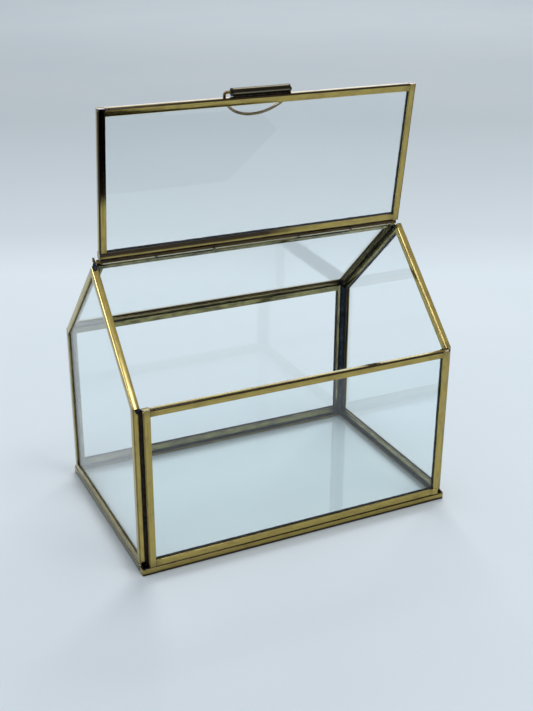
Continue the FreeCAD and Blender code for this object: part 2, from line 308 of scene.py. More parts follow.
def map_range(tree, value, source, target, **settings):
    """Map a value from one (low, high) range to another, and hold it at the ends."""
    inputs = {"Value": value, "From Min": source[0], "From Max": source[1],
              "To Min": target[0], "To Max": target[1]}
    return add(tree, "ShaderNodeMapRange", inputs, **settings).outputs[0]


def bump(tree, height, strength, distance):
    inputs = {"Height": height, "Strength": strength, "Distance": distance}
    return add(tree, "ShaderNodeBump", inputs).outputs["Normal"]


DULL_LIGHT = (0.29, 0.265, 0.115)         # brass on the faces toward the box's inside, drawn greyer
DULL_DARK = (0.13, 0.12, 0.065)
HIGHLIGHT_CREAM = (0.95, 0.88, 0.62)             # cream of the painted highlight lines
# Brown-black of the painted shade and dark reflections along corners, lips and the lid's inside
SHADE_BROWN = (0.030, 0.018, 0.010)
END_STAIN = (0.03, 0.025, 0.025)
SPOT_BROWN = (0.05, 0.035, 0.02)


def brass(name, bright, deep, tarnish, roughness, coat=0.0, streaked=True):
    """Satin brass: lengthwise streaks, mottling, painted shade and dark reflections along the edges, painted
    highlight lines, and dark stains near the soldered ends.
    """
    material, tree, shader = new_material(name)
    if streaked:
        place = attribute(tree, "grain", "Vector")
        stretch = (0.03, 1, 1)
    else:
        place = coordinate(tree)
        stretch = (0.2, 1, 1)
    streaks = noise_texture(tree, place, 1500, 3, stretch)
    fine = noise_texture(tree, place, 4200, 2, stretch)
    mottle = noise_texture(tree, place, 260, 4, (0.5, 1, 1))
    specks = noise_texture(tree, place, 1900, 2)
    patches = noise_texture(tree, place, 70, 4)
    colour = mix(tree, ramp(tree, streaks, [(0.35, 0.0), (0.65, 1.0)]), bright, deep)
    colour = mix(tree, ramp(tree, mottle, [(0.48, 0.0), (0.72, 0.5)]), colour, tarnish)
    if streaked:
        dulled = mix(tree, ramp(tree, mottle, [(0.42, 0.0), (0.62, 1.0)]), DULL_LIGHT, DULL_DARK)
        colour = mix(tree, math_node(tree, "MULTIPLY", attribute(tree, "dull"), 0.9), colour, dulled)
        # Painted shade and dark reflections: the edge value turns corners, lips and the lid's inside
        # brown-black
        uneven = ramp(tree, mottle, [(0.3, 0.85), (0.6, 1.0)])
        edge = math_node(tree, "MULTIPLY", attribute(tree, "edge"), uneven)
        edge = ramp(tree, edge, [(0.06, 0.0), (0.45, 0.97)])
        colour = mix(tree, edge, colour, SHADE_BROWN)
        near_end = map_range(tree, attribute(tree, "end"), (0.0, STAIN_REACH), (1.0, 0.0))
        end_stain = math_node(tree, "MULTIPLY", near_end, ramp(tree, specks, [(0.42, 0.0), (0.6, 1.0)]))
        colour = mix(tree, math_node(tree, "MULTIPLY", end_stain, 0.8), colour, END_STAIN)
    # Painted highlight: a cream line where the highlight value is set
    colour = mix(tree, attribute(tree, "painted_highlight"), colour, HIGHLIGHT_CREAM)
    dots = math_node(tree, "MULTIPLY", ramp(tree, specks, [(0.66, 0.0), (0.72, 0.55)]),
                     ramp(tree, patches, [(0.45, 0.0), (0.6, 1.0)]))
    colour = mix(tree, dots, colour, SPOT_BROWN)
    rough = map_range(tree, streaks, (0.3, 0.7), (roughness - 0.06, roughness + 0.08))
    rough = math_node(tree, "ADD", rough, math_node(tree, "MULTIPLY", dots, 0.25))
    height = math_node(tree, "ADD", streaks, math_node(tree, "MULTIPLY", fine, 0.4))
    height = math_node(tree, "SUBTRACT", height, math_node(tree, "MULTIPLY", dots, 0.6))
    feed(tree, shader, {"Base Color": colour, "Metallic": 1.0, "Roughness": rough, "Coat Weight": coat,
                        "Coat Roughness": 0.08, "Normal": bump(tree, height, 0.35, 0.02 * MM)})
    return material


def slot_material():
    """The dark cement and oxide inside the channel, seen through the edge of the glass."""
    material, tree, shader = new_material("channel_inside")
    spots = noise_texture(tree, coordinate(tree), 900, 4)
    stops = [(0.4, (0.006, 0.007, 0.012)), (0.62, (0.014, 0.014, 0.02)), (0.75, (0.05, 0.04, 0.03))]
    rough = ramp(tree, spots, [(0.3, 0.5), (0.7, 0.8)])
    feed(tree, shader, {"Base Color": ramp(tree, spots, stops), "Roughness": rough,
                        "Specular IOR Level": 0.25})
    return material


def solder_material(name, dark, light, metallic, roughness):
    """Patinated solder: blue-black with slate patches, dark rims and small bright specks."""
    material, tree, shader = new_material(name)
    place = coordinate(tree)
    patches = noise_texture(tree, place, 240, 4)
    grains = noise_texture(tree, place, 1300, 3)
    colour = mix(tree, ramp(tree, patches, [(0.38, 0.0), (0.62, 1.0)]), dark, light)
    colour = mix(tree, ramp(tree, grains, [(0.5, 0.0), (0.7, 0.6)]), colour, (0.02, 0.014, 0.012))
    bright = math_node(tree, "MULTIPLY", ramp(tree, grains, [(0.27, 1.0), (0.33, 0.0)]),
                       ramp(tree, patches, [(0.5, 0.0), (0.6, 1.0)]))
    colour = mix(tree, bright, colour, (0.75, 0.77, 0.8))
    rim = attribute(tree, "rim")
    colour = mix(tree, math_node(tree, "MULTIPLY", rim, 0.9), colour, (0.008, 0.008, 0.012))
    rough = ramp(tree, grains, [(0.3, roughness - 0.08), (0.7, roughness + 0.14)])
    height = math_node(tree, "ADD", patches, math_node(tree, "MULTIPLY", grains, 0.25))
    feed(tree, shader, {"Base Color": colour, "Metallic": metallic, "Roughness": rough,
                        "Specular Tint": (0.25, 0.28, 0.36, 1), "Normal": bump(tree, height, 0.5, 0.25 * MM)})
    return material


def glass_material(name, tint, second_tint):
    """Clear float glass with a faint blue-green tint and a trace of haze."""
    material, tree, shader = new_material(name)
    place = coordinate(tree)
    clouds = noise_texture(tree, place, 14, 3)
    haze = noise_texture(tree, place, 60, 5)
    colour = mix(tree, ramp(tree, clouds, [(0.35, 0.0), (0.65, 1.0)]), tint, second_tint)
    rough = ramp(tree, haze, [(0.45, 0.0), (0.8, 0.035)])
    feed(tree, shader, {"Base Color": colour, "Roughness": rough, "IOR": 1.5, "Transmission Weight": 1.0})
    return material


BRASS = brass("satin_brass", (0.465, 0.365, 0.10), (0.39, 0.285, 0.08), (0.25, 0.165, 0.06), 0.12, coat=0.25)
# Aged brass for the hinge barrels: dark patina, made darker still as painted shade
AGED_SHADED = brass("aged_brass", (0.11, 0.075, 0.034), (0.06, 0.04, 0.02), (0.02, 0.014, 0.01), 0.24)
# The handle's near-black: dark patina with a painted dark reflection
HANDLE_PATINA_AND_REFLECTION = brass("handle_patina_and_reflection", (0.032, 0.023, 0.013), (0.018, 0.012, 0.008), (0.008, 0.006, 0.005), 0.20)
WIRE = brass("brass_wire", (0.25, 0.17, 0.055), (0.15, 0.095, 0.036), (0.05, 0.03, 0.018), 0.24,
             streaked=False)
INSIDE = slot_material()
SOLDER = solder_material("dark_solder", (0.012, 0.018, 0.030), (0.040, 0.054, 0.080), 0.85, 0.28)
SEAM_SOLDER = solder_material("seam_solder", (0.005, 0.008, 0.013), (0.018, 0.025, 0.038), 0.85, 0.30)
BLACK_SOLDER = solder_material("black_solder", (0.010, 0.008, 0.008), (0.040, 0.028, 0.022), 0.7, 0.30)
CLEAR = glass_material("clear_glass", (0.945, 0.980, 0.980), (0.935, 0.975, 0.975))
FLOOR_GLASS = glass_material("floor_glass", (0.925, 1.0, 1.0), (0.91, 0.995, 0.995))


# ---------------------------------------------------------------- brass edging

class Strip:
    """One strip of edging: its mesh, its frame and its measures."""

    def __init__(self, node, seed):
        self.node = node
        self.seed = seed
        self.bm = node_bmesh(node)
        self.on_base = node.startswith("base")
        self.at_foot = node.endswith("_bottom")
        self.radius = TIGHT_ARRIS if self.at_foot or self.on_base else ARRIS
        self.origin, self.along, self.inset, self.normal = strip_frame(node, self.bm)
        places = [self.local(vertex.co) for vertex in self.bm.verts]
        self.length = max(s for s, u, w in places)
        self.face = max(u for s, u, w in places)
        self.interior = interior_side(node, self.origin, self.normal)
        self.lid_inside = -math.copysign(1.0, self.normal.y) if node.startswith("lid") else 0.0

    def local(self, point):
        offset = point - self.origin
        return offset.dot(self.along), offset.dot(self.inset), offset.dot(self.normal)

    def place(self, s, u, w):
        return self.origin + self.along * s + self.inset * u + self.normal * w


def strip_frame(node, bm):
    """The origin on the strip's outer edge, and unit vectors along s, u and w."""
    normal, centre = pane_normal(node.split("_came_")[0])
    along = longest_direction(bm)
    inset = normal.cross(along).normalized()
    middle = sum((vertex.co for vertex in bm.verts), Vector()) / len(bm.verts)
    if (centre - middle).dot(inset) < 0:
        inset = -inset
    outer = min(vertex.co.dot(inset) for vertex in bm.verts)
    low = min(vertex.co.dot(along) for vertex in bm.verts)
    origin = along * low + inset * outer + normal * centre.dot(normal)
    return origin, along, inset, normal


def lengthwise_cuts(bm, along):
    """Divide the long edges, so that every long face is a run of short quads."""
    long_edges = []
    for edge in bm.edges:
        span = edge.verts[1].co - edge.verts[0].co
        if span.length > 6 * MM and abs(span.normalized().dot(along)) > 0.99:
            long_edges.append(edge)
    cuts = max(1, round(max(edge.calc_length() for edge in long_edges) / STRIP_STEP) - 1)
    bmesh.ops.subdivide_edges(bm, edges=long_edges, cuts=cuts, use_grid_fill=True)


def cut_plane(bm, point, normal):
    geometry = bm.verts[:] + bm.edges[:] + bm.faces[:]
    bmesh.ops.bisect_plane(bm, geom=geometry, dist=1e-7, plane_co=point, plane_no=normal)


def corner_shade_strength(node):
    """How dark the folded corners are painted, as shade and dark reflections: none on the rafters, darkest on
    the lid and the strip it shuts on.
    """
    if "rafter" in node:
        return 0.0
    if node.startswith(("front_came_bottom", "left_gable_came_bottom", "right_gable_came_bottom")):
        return 0.3
    if node.startswith(("lid", "front_came_top")):
        return 1.0
    return 0.4 if node.startswith("base") else 0.3


def interior_side(node, origin, normal):
    """Sign of the face toward the box's inside, which is drawn greyer; 0 on the lid and on the front rafters.
    """
    if node.startswith("lid") or node.endswith("front_rafter"):
        return 0.0
    centre = Vector((0, 0, EAVE / 2))
    return math.copysign(1.0, (centre - origin).dot(normal))


def rounded(u, w, half, radius):
    """Move a point of the channel's outline onto its rounded corner; also how far round the corner it is."""
    du, dw = max(0.0, radius - u), max(0.0, abs(w) - (half - radius))
    if du < 1e-7 or dw < 1e-7:
        return u, w, 0.0
    reach = math.hypot(du, dw)
    corner_w = half - radius + dw / reach * radius
    return radius - du / reach * radius, math.copysign(corner_w, w), 2 * du * dw / reach ** 2


def add_prism(bm, rings, index):
    """Skin closed rings of points, cap both ends, and give the new faces a material."""
    loops = [[bm.verts.new(point) for point in ring] for ring in rings]
    faces = [bm.faces.new(loops[0]), bm.faces.new(reversed(loops[-1]))] + skin(bm, loops)
    for face in faces:
        face.material_index = index
    bmesh.ops.recalc_face_normals(bm, faces=faces)


def add_cement(bm, place, span, face, side, height, seed):
    """Dark cement squeezed out between a lip and the glass; place(s, u, w) gives a point of the strip."""
    glass = SLOT_HALF * 0.97
    count = max(2, round((span[1] - span[0]) / CEMENT_STEP))
    rings = []
    for i in range(count + 1):
        s = span[0] + (span[1] - span[0]) * i / count
        tall = height * (1 + 0.3 * noise_at(s / (3 * MM), seed, side))
        section = [(face - 0.4 * MM, glass), (face + tall, glass), (face + tall * 0.4, glass + 0.16 * MM),
                   (face - 0.25 * MM, glass + 0.5 * MM)]
        rings.append([place(s, u, side * w) for u, w in section])
    add_prism(bm, rings, 1)


def dark_reflection_mask(node, point, u, face):
    """Painted dark reflection on the lid's inside: on the left part of the hinge strip, and the upper part of
    the left strip.
    """
    if node == "lid_came_hinge_edge":
        return smooth_step(u, 0.2 * face, 0.5 * face) * (1 - smooth_step(point.x, *DARK_REFLECTION_FADE_X))
    if node == "lid_came_left":
        return smooth_step(point.z, *DARK_REFLECTION_FADE_Z)
    return 0.0


def cut_strip(strip):
    """Divide the strip lengthwise, where its corners start to turn, and across its faces."""
    lengthwise_cuts(strip.bm, strip.along)
    cuts = [strip.radius, 0.5 * (ARRIS + strip.face), 0.75 * strip.face + 0.3 * MM]
    if strip.at_foot:
        cuts.insert(0, strip.radius + 0.5 * MM)
    for u in cuts:
        cut_plane(strip.bm, strip.place(0, u, 0), strip.inset)
    for w in (strip.radius - HALF, 0.0, HALF - strip.radius):
        cut_plane(strip.bm, strip.place(0, 0, w), strip.normal)


def end_shifts(strip):
    """How the vertices of the two cut ends move, to open the joints."""
    shift = {}
    for face in strip.bm.faces:
        side = face.normal.dot(strip.along)
        if abs(side) > 0.5:
            for vertex in face.verts:
                shift[vertex] = -strip.along * math.copysign(END_GAP, side)
    return shift


def mark_slot(strip):
    """Give the inside of the channel the second material."""
    slot_edge = SLOT_HALF + 0.02 * MM
    for face in strip.bm.faces:
        s, u, w = strip.local(face.calc_center_median())
        inside = abs(w) < slot_edge and u > 0.95 * WEB
        face.material_index = 1 if inside and abs(face.normal.dot(strip.along)) < 0.5 else 0


def reshaped(strip, s, u, w):
    """Where a point moves in u and w, and how far round a folded corner it is."""
    new_u, new_w, corner = rounded(u, w, HALF, strip.radius)
    face = strip.face
    if strip.at_foot:
        new_u -= FOOT_DROP * max(0.0, 1 - u / face)
    if strip.on_base:
        trim = BASE_TRIM if w > 0 else UNDER_TRIM
        new_u -= trim * smooth_step(u, face - 3.0 * MM, face - 0.1 * MM)
    if u < 0.05 * MM:
        new_u -= CROWN * max(0.0, 1 - (w / (HALF - ARRIS)) ** 2)
    if abs(w) > HALF - 0.05 * MM:
        flat_half = (face - ARRIS - 0.35 * MM) / 2
        bulge = max(0.0, 1 - ((u - ARRIS - flat_half) / flat_half) ** 2)
        new_w += math.copysign(CROWN * bulge, w)
    bow = BOW * smooth_step(min(s, strip.length - s), 0, 30 * MM)
    new_w += bow * noise_at(s / (46 * MM), strip.seed)
    new_u += bow * noise_at(s / (58 * MM), strip.seed + 40.5)
    if abs(w) > SLOT_HALF + 0.3 * MM or u < 0.5 * MM:
        ripple = RIPPLE * noise_at(s / (8 * MM) + strip.seed, u / (4 * MM), w / (4 * MM))
        reach = math.hypot(u - face / 2, w)
        new_u += (u - face / 2) / reach * ripple
        new_w += w / reach * ripple
    return new_u, new_w, corner


def shade_and_greying(strip, point, u, w, corner):
    """Edge and dull values at a point: painted shade and dark reflections on corners, lips and the lid's
    inside, and the greyed faces.
    """
    near_corner = u < strip.radius + 0.1 * MM
    faces_in = w * strip.interior > HALF - 0.4 * MM
    edge = corner * corner_shade_strength(strip.node)
    dull = 0.6 if strip.node in GREYED else 0.0
    # Painted shade along the base's lower corner, where it meets the table
    if strip.on_base and near_corner:
        edge = max(edge, smooth_step(-w, HALF - 1.5 * MM, HALF - 0.6 * MM))
    if faces_in and (u > CAME or not strip.on_base):
        dull = 0.45 if strip.node == "rear_roof_came_eave" else 1.0
    # Painted shade on the lips that face the box's inside
    if faces_in and (u > strip.face - 0.3 * MM or (strip.at_foot and near_corner)):
        edge = LIP_SHADE
    # Painted dark reflection on the lid's inside
    if w * strip.lid_inside > HALF - ARRIS:
        edge = max(edge, LID_DARK_REFLECTION * dark_reflection_mask(strip.node, point, u, strip.face))
    return edge, dull


def fill_channel(strip, lip_span):
    """Cement beside the lips, plugs in the open ends, and the tab on the front pane's bottom strip."""
    glass_mesh = frame["nodes"][strip.node.split("_came_")[0] + "_glass"].data
    glass = [strip.local(vertex.co)[0] for vertex in glass_mesh.vertices]
    window = strip.face - SLOT_FLOOR
    span = (max(lip_span[0], min(glass) + window), min(lip_span[1], max(glass) - window))
    back = math.copysign(1.0, strip.normal.x + strip.normal.y)
    face = strip.face - (BASE_TRIM if strip.on_base else 0.0)
    tall = CEMENT_LOW if strip.on_base else CEMENT_TALL
    add_cement(strip.bm, strip.place, span, face, back, tall, strip.seed)
    if not strip.on_base:
        add_cement(strip.bm, strip.place, span, face, -back, CEMENT_LOW, strip.seed + 7)
    if "gable" not in strip.node:
        add_plugs(strip.bm, strip.place, strip.length, face, glass)
    if strip.node == "front_came_bottom":
        add_tab(strip.bm, strip.place, face, strip.normal)


def edging(node, seed):
    """One brass strip: rounded and crowned, slightly uneven, with open joints and dark cement in its slot."""
    strip = Strip(node, seed)
    bm = strip.bm
    cut_strip(strip)
    shift = end_shifts(strip)
    mark_slot(strip)
    grain = bm.verts.layers.float_vector.new("grain")
    edge = bm.verts.layers.float.new("edge")
    end = bm.verts.layers.float.new("end")
    dull = bm.verts.layers.float.new("dull")
    places = {vertex: strip.local(vertex.co) for vertex in bm.verts}
    lip = [s for s, u, w in places.values() if u > strip.face - 0.1 * MM]
    for vertex, (s, u, w) in places.items():
        new_u, new_w, corner = reshaped(strip, s, u, w)
        vertex[grain] = Vector((s + seed * GRAIN_SHIFT, u + seed * 0.017, w))
        vertex[edge], vertex[dull] = shade_and_greying(strip, vertex.co, u, w, corner)
        vertex[end] = min(s, strip.length - s) + (UNSTAINED if strip.on_base else 0.0)
        vertex.co += shift.get(vertex, Vector()) + strip.inset * (new_u - u) + strip.normal * (new_w - w)
    fill_channel(strip, (min(lip), max(lip)))
    for vertex in bm.verts:
        if vertex[grain].length < 1e-9:
            s, u, w = strip.local(vertex.co)
            vertex[grain] = Vector((s + seed * GRAIN_SHIFT, u, w))
            vertex[end] = UNSTAINED
    make_piece(node.replace("_came_", "_edging_"), bm, node, [BRASS, INSIDE])


def add_plugs(bm, place, length, face, glass):
    """Brass folded over the open ends of a channel, where it runs past the glass."""
    ends = []
    if min(glass) > 0.8 * MM:
        ends.append((END_GAP, 1.05 * MM))
    if length - max(glass) > 0.8 * MM:
        ends.append((length - END_GAP, length - 1.05 * MM))
    for outer, inner in ends:
        rings = []
        for s, shrink in ((inner, 0.0), ((outer * 3 + inner) / 4, 0.0), (outer, 0.12 * MM)):
            wide, low, high = SLOT_HALF + 0.05 * MM - shrink, 0.9 * MM + shrink, face - 0.1 * MM - shrink
            section = ((low, -wide), (high, -wide), (high, wide), (low, wide))
            rings.append([place(s, u, w) for u, w in section])
        add_prism(bm, rings, 0)


def add_tab(bm, place, face, normal):
    """The bottom strip's front leaf, lapped over the foot of the left post."""
    front = -math.copysign(1.0, normal.y)
    reach = CAME - 1.5 * MM
    rings = []
    lifts = ((-reach, 0.16 * MM), (-reach + 0.15 * MM, 0.27 * MM), (0.3 * MM, 0.27 * MM), (0.9 * MM, 0.0))
    u_low, u_high = 0.5 * MM, face - 0.15 * MM
    for s, lift in lifts:
        low, high = CAME / 2 - 0.2 * MM, CAME / 2 + CROWN + lift
        section = ((u_low, low), (u_high, low), (u_high, high), (u_low, high))
        rings.append([place(s, u, front * w) for u, w in section])
    add_prism(bm, rings, 0)


# ---------------------------------------------------------------- glass

def pane(node):
    """A pane with arrised edges, a hair thinner than its slot."""
    bm = node_bmesh(node)
    normal, centre = pane_normal(node.removesuffix("_glass"))
    for vertex in bm.verts:
        vertex.co -= normal * ((vertex.co - centre).dot(normal) * 0.04)
    bmesh.ops.bevel(bm, geom=bm.edges[:], offset=0.3 * MM, segments=2, profile=0.5, affect="EDGES")
    material = FLOOR_GLASS if node == "base_glass" else CLEAR
    piece = make_piece(node.replace("_glass", "_pane"), bm, node, [material])
    piece.visible_shadow = False
    piece.visible_diffuse = False


# ---------------------------------------------------------------- solder

def sweep(bm, start, end, section):
    """Join the outlines that section(distance) gives along a straight line, and close both ends."""
    rim = bm.verts.layers.float["rim"]
    run = end - start
    count = max(3, round(run.length / BEAD_STEP))
    rings = []
    for index in range(count + 1):
        distance = run.length * index / count
        middle = start + run.normalized() * distance
        ring = []
        for offset, darkness in section(distance, run.length):
            vertex = bm.verts.new(middle + offset)
            vertex[rim] = darkness
            ring.append(vertex)
        rings.append(ring)
    skin(bm, rings)
    bm.faces.new(rings[0])
    bm.faces.new(reversed(rings[-1]))


def fillet_section(toward_a, toward_b, legs, seed, bulge=0.30, wander=0.22):
    """Section of a bead in a corner, whose edges wander along the two faces."""
    points = 7

    def section(distance, length):
        taper = smooth_step(min(distance, length - distance), -0.6 * MM, 2.0 * MM)
        tips = []
        for leg, phase in zip(legs, (0.0, 9.7)):
            wave = noise_at(distance / (7 * MM), seed + phase)
            wave += 0.5 * noise_at(distance / (2 * MM), seed + phase, 4.2)
            tips.append(leg * taper * (1 + wander * wave))
        fill = bulge * (1 + 0.5 * noise_at(distance / (5 * MM), seed + 3.3))
        first, second = toward_a * tips[0], toward_b * tips[1]
        control = (first + second) * fill
        outline = [(Vector(), 0.0)]
        for i in range(points):
            t = i / (points - 1)
            point = first * (1 - t) ** 2 + control * (2 * t * (1 - t)) + second * t ** 2
            outline.append((point, smooth_step(abs(2 * t - 1), 0.25, 0.8)))
        return outline
    return section


def bed_section(outward, up, depth, height, seed):
    """Section of a flat bed of solder under a wall, with an uneven outer face."""
    def section(distance, length):
        reach = depth + 0.35 * MM * noise_at(distance / (4 * MM), seed)
        low = up * (-0.05 * MM)
        top = up * (height + 0.05 * MM)
        swell = outward * (0.15 * MM)
        middle = up * (height / 2) + outward * reach + swell
        outline = [low, low + outward * reach, middle, top + outward * reach, top]
        return [(point, 0.6) for point in outline]
    return section


def blob(bm, centre, radii, seed):
    """A lump of solder: a sphere squashed and pushed about by noise."""
    rim = bm.verts.layers.float["rim"]
    made = bmesh.ops.create_icosphere(bm, subdivisions=3, radius=1.0)
    for vertex in made["verts"]:
        direction = vertex.co.normalized()
        swell = 1 + 0.30 * noise_at(*(direction * 1.3 + Vector((seed, seed * 0.7, 0))))
        swell += 0.12 * noise_at(*(direction * 3.1))
        vertex.co = centre + Vector([d * r * swell for d, r in zip(direction, radii)])
        vertex[rim] = 0.3


def solder_bmesh():
    bm = bmesh.new()
    bm.verts.layers.float.new("rim")
    return bm


def floor_seam():
    """Inner fillets and outer beds along the foot of the four walls."""
    bm = solder_bmesh()
    seam = WALL_FOOT - BASE_TOP
    runs = [(Y_AXIS, X_AXIS, INNER_Y, INNER_X), (-Y_AXIS, X_AXIS, INNER_Y, INNER_X),
            (X_AXIS, Y_AXIS, INNER_X, INNER_Y), (-X_AXIS, Y_AXIS, INNER_X, INNER_Y)]
    for seed, (inward, along, offset, half) in enumerate(runs):
        foot = Z_AXIS * BASE_TOP - inward * offset
        inner = fillet_section(Z_AXIS, inward, SEAM_LEGS, seed * 5.3, bulge=0.42, wander=0.05)
        sweep(bm, foot - along * half, foot + along * half, inner)
        bed = bed_section(-inward, Z_AXIS, BED_DEPTH, seam, seed * 3.1 + 20)
        reach = along * (half + BED_OVERRUN)
        sweep(bm, foot - reach, foot + reach, bed)
    return bm


def inner_corners():
    bm = solder_bmesh()
    for seed, (sx, sy) in enumerate(CORNERS):
        foot = Vector((sx * INNER_X, sy * INNER_Y, BASE_TOP))
        section = fillet_section(X_AXIS * -sx, Y_AXIS * -sy, INNER_LEGS, 60 + seed * 4.1, wander=0.12)
        sweep(bm, foot, Vector((foot.x, foot.y, EAVE - 0.5 * MM)), section)
    return bm


def outer_corners():
    """Beads along the wall side of each outer groove, with a lump at the top and a drip at the foot."""
    bm = solder_bmesh()
    for seed, (sx, sy) in enumerate(CORNERS):
        foot = Vector((sx * INNER_X, sy * INNER_Y, WALL_FOOT - 0.4 * MM))
        phase = 80 + seed * 6.7
        section = fillet_section(Y_AXIS * sy, X_AXIS * sx, GROOVE_LEGS, phase, bulge=0.16, wander=0.05)
        sweep(bm, foot, Vector((foot.x, foot.y, EAVE - 1.0 * MM)), section)
        neat = (sx, sy) == (1, -1)          # the front right corner has less solder
        out, down, lump = (1.7 * MM, 1.5 * MM, 0.6) if neat else (2.1 * MM, 1.3 * MM, 1.0)
        top = Vector((sx * (INNER_X + out), sy * (INNER_Y + out), EAVE - down))
        blob(bm, top, TOP_LUMP * lump * MM, seed * 2.7 + 1)
        drip = Vector((sx * (INNER_X + 1.2 * MM), sy * (INNER_Y + 1.5 * MM), WALL_FOOT + 0.9 * MM))
        blob(bm, drip, DRIP * MM, seed * 1.9 + 7)
    return bm


def eave_seam():
    """Beads inside and outside the joint of the back pane and the rear roof pane."""
    bm = solder_bmesh()
    eave = Vector((0, INNER_Y, EAVE))
    half = X_AXIS * (INNER_X - 1.0 * MM)
    inside = fillet_section(-Z_AXIS, -BACK_DOWN, EAVE_INSIDE_LEGS, 101.0, wander=0.12)
    sweep(bm, eave - half, eave + half, inside)
    outside = fillet_section(Y_AXIS, BACK_OUT, EAVE_OUTSIDE_LEGS, 111.0, bulge=0.42)
    sweep(bm, eave - half, eave + half, outside)
    return bm


def rafter_seams():
    """Beads under and over the joints of the rear roof pane and the gables."""
    bm = solder_bmesh()
    low = Vector((0, INNER_Y, EAVE)) - BACK_DOWN * (2.5 * MM)
    for seed, sx in enumerate((-1, 1)):
        side = X_AXIS * (sx * INNER_X)
        top = Vector((0, 0, RIDGE)) + BACK_DOWN * (1.8 * MM) + side
        under = fillet_section(X_AXIS * -sx, -BACK_OUT, RAFTER_UNDER_LEGS, 120 + seed * 3.0, wander=0.2)
        sweep(bm, top, low + side, under)
        over = fillet_section(X_AXIS * sx, BACK_OUT, RAFTER_OVER_LEGS, 130 + seed * 3.0, bulge=0.4)
        sweep(bm, top, low + side, over)
    return bm


def lumpy(node, growth):
    """A short run of solder: the CAD solid remeshed, softened, grown and pushed about by noise."""
    source = new_object("solder_source", frame["nodes"][node].data.copy())
    remesh = source.modifiers.new("voxels", "REMESH")
    remesh.mode = "VOXEL"
    remesh.voxel_size = REMESH_VOXEL
    soften = source.modifiers.new("soften", "SMOOTH")
    soften.iterations = 6
    depsgraph = bpy.context.evaluated_depsgraph_get()
    mesh = bpy.data.meshes.new_from_object(source.evaluated_get(depsgraph))
    bpy.data.objects.remove(source)
    bm = bmesh.new()
    bm.from_mesh(mesh)
    bpy.data.meshes.remove(mesh)
    rim = bm.verts.layers.float.new("rim")
    bm.normal_update()
    for vertex in bm.verts:
        place = vertex.co / LUMP_SIZE
        push = noise_at(*place) + 0.4 * noise_at(*(place * 2.7))
        vertex[rim] = 0.15
        vertex.co += vertex.normal * (LUMP_SWELL * push + growth)
    return bm


# ---------------------------------------------------------------- hinge and handle

def rolled_section(profile, start, length, wobble, seed, highlight_line):
    """Sweep a closed profile of (y, z) points along X, with grain, edge, end and painted highlight values for
    the brass.
    """
    bm = bmesh.new()
    grain = bm.verts.layers.float_vector.new("grain")
    bm.verts.layers.float.new("edge")
    end = bm.verts.layers.float.new("end")
    painted_highlight = bm.verts.layers.float.new("painted_highlight")
    count = round(length / ROLL_STEP)
    rings = []
    for index in range(count + 1):
        s = length * index / count
        bend = Vector((0, noise_at(s / (16 * MM), seed), noise_at(s / (19 * MM), seed + 5))) * wobble
        ring = []
        for y, z in profile:
            swell = 1 + 0.012 * noise_at(s / (5 * MM), y / (3 * MM), z / (3 * MM) + seed)
            vertex = bm.verts.new(start + Vector((s, y * swell, z * swell)) + bend)
            vertex[grain] = Vector((s + seed, y, z))
            vertex[end] = min(s, length - s)
            vertex[painted_highlight] = highlight_line(y, z) * smooth_step(vertex[end], 0.8 * MM, 1.6 * MM)
            ring.append(vertex)
        rings.append(ring)
    skin(bm, rings)
    for ring, flip in ((rings[0], True), (rings[-1], False)):
        pairs = len(ring) // 2
        for i in range(pairs - 1):
            quad = (ring[i], ring[i + 1], ring[-2 - i], ring[-1 - i])
            bm.faces.new(reversed(quad) if flip else quad)
    bmesh.ops.recalc_face_normals(bm, faces=bm.faces)
    return bm


def barrel_profile(radius, bore, slit, seam_angle):
    """C-shaped section of a rolled barrel: out along the outer arc and back along the bore."""
    half = slit / radius / 2
    angles = [seam_angle + half + (2 * math.pi - 2 * half) * i / ARC_STEPS for i in range(ARC_STEPS + 1)]
    outer = [(radius * math.cos(a), radius * math.sin(a)) for a in angles]
    inner = [(bore * math.cos(a), bore * math.sin(a)) for a in reversed(angles)]
    return outer + inner


def scroll_profile(radius, bore, sheet, gap, seam_angle):
    """Spiral section of a sheet rolled up round the wire, from its outer end inwards."""
    pitch = sheet + gap
    turns = (radius - sheet - bore) / pitch
    steps = round(turns * ARC_STEPS)
    outer, inner = [], []
    for i in range(steps + 1):
        turn = turns * i / steps
        angle = seam_angle + 2 * math.pi * turn
        r = radius - pitch * turn
        outer.append((r * math.cos(angle), r * math.sin(angle)))
        inner.append(((r - sheet) * math.cos(angle), (r - sheet) * math.sin(angle)))
    return outer + inner[::-1]


def rolled_piece(node, name, profile, axis, seed, wobble, material, highlight_line):
    low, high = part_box(node)
    start = Vector((low.x, axis.y, axis.z))
    bm = rolled_section(profile, start, high.x - low.x, wobble, seed, highlight_line)
    make_piece(name, bm, node, [material])


def hinge_barrels():
    axis = JOINT_AT["lid_hinge"]

    def highlight_line(y, z):
        """A painted highlight along the lower front of each barrel."""
        angle = math.degrees(math.atan2(z, -y)) % 360
        return max(0.0, 1 - abs(angle - 325) / 25)

    nodes = ("lid_knuckle_left", "lid_knuckle_middle", "lid_knuckle_right",
             "ridge_knuckle_left", "ridge_knuckle_right")
    for seed, node in enumerate(nodes):
        low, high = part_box(node)
        radius = (high.z - low.z) / 2
        profile = barrel_profile(radius, BARREL_BORE, BARREL_SLIT, BARREL_SEAM)
        name = node.replace("knuckle", "barrel")
        rolled_piece(node, name, profile, axis, seed * 2.3, 0.03 * MM, AGED_SHADED, highlight_line)


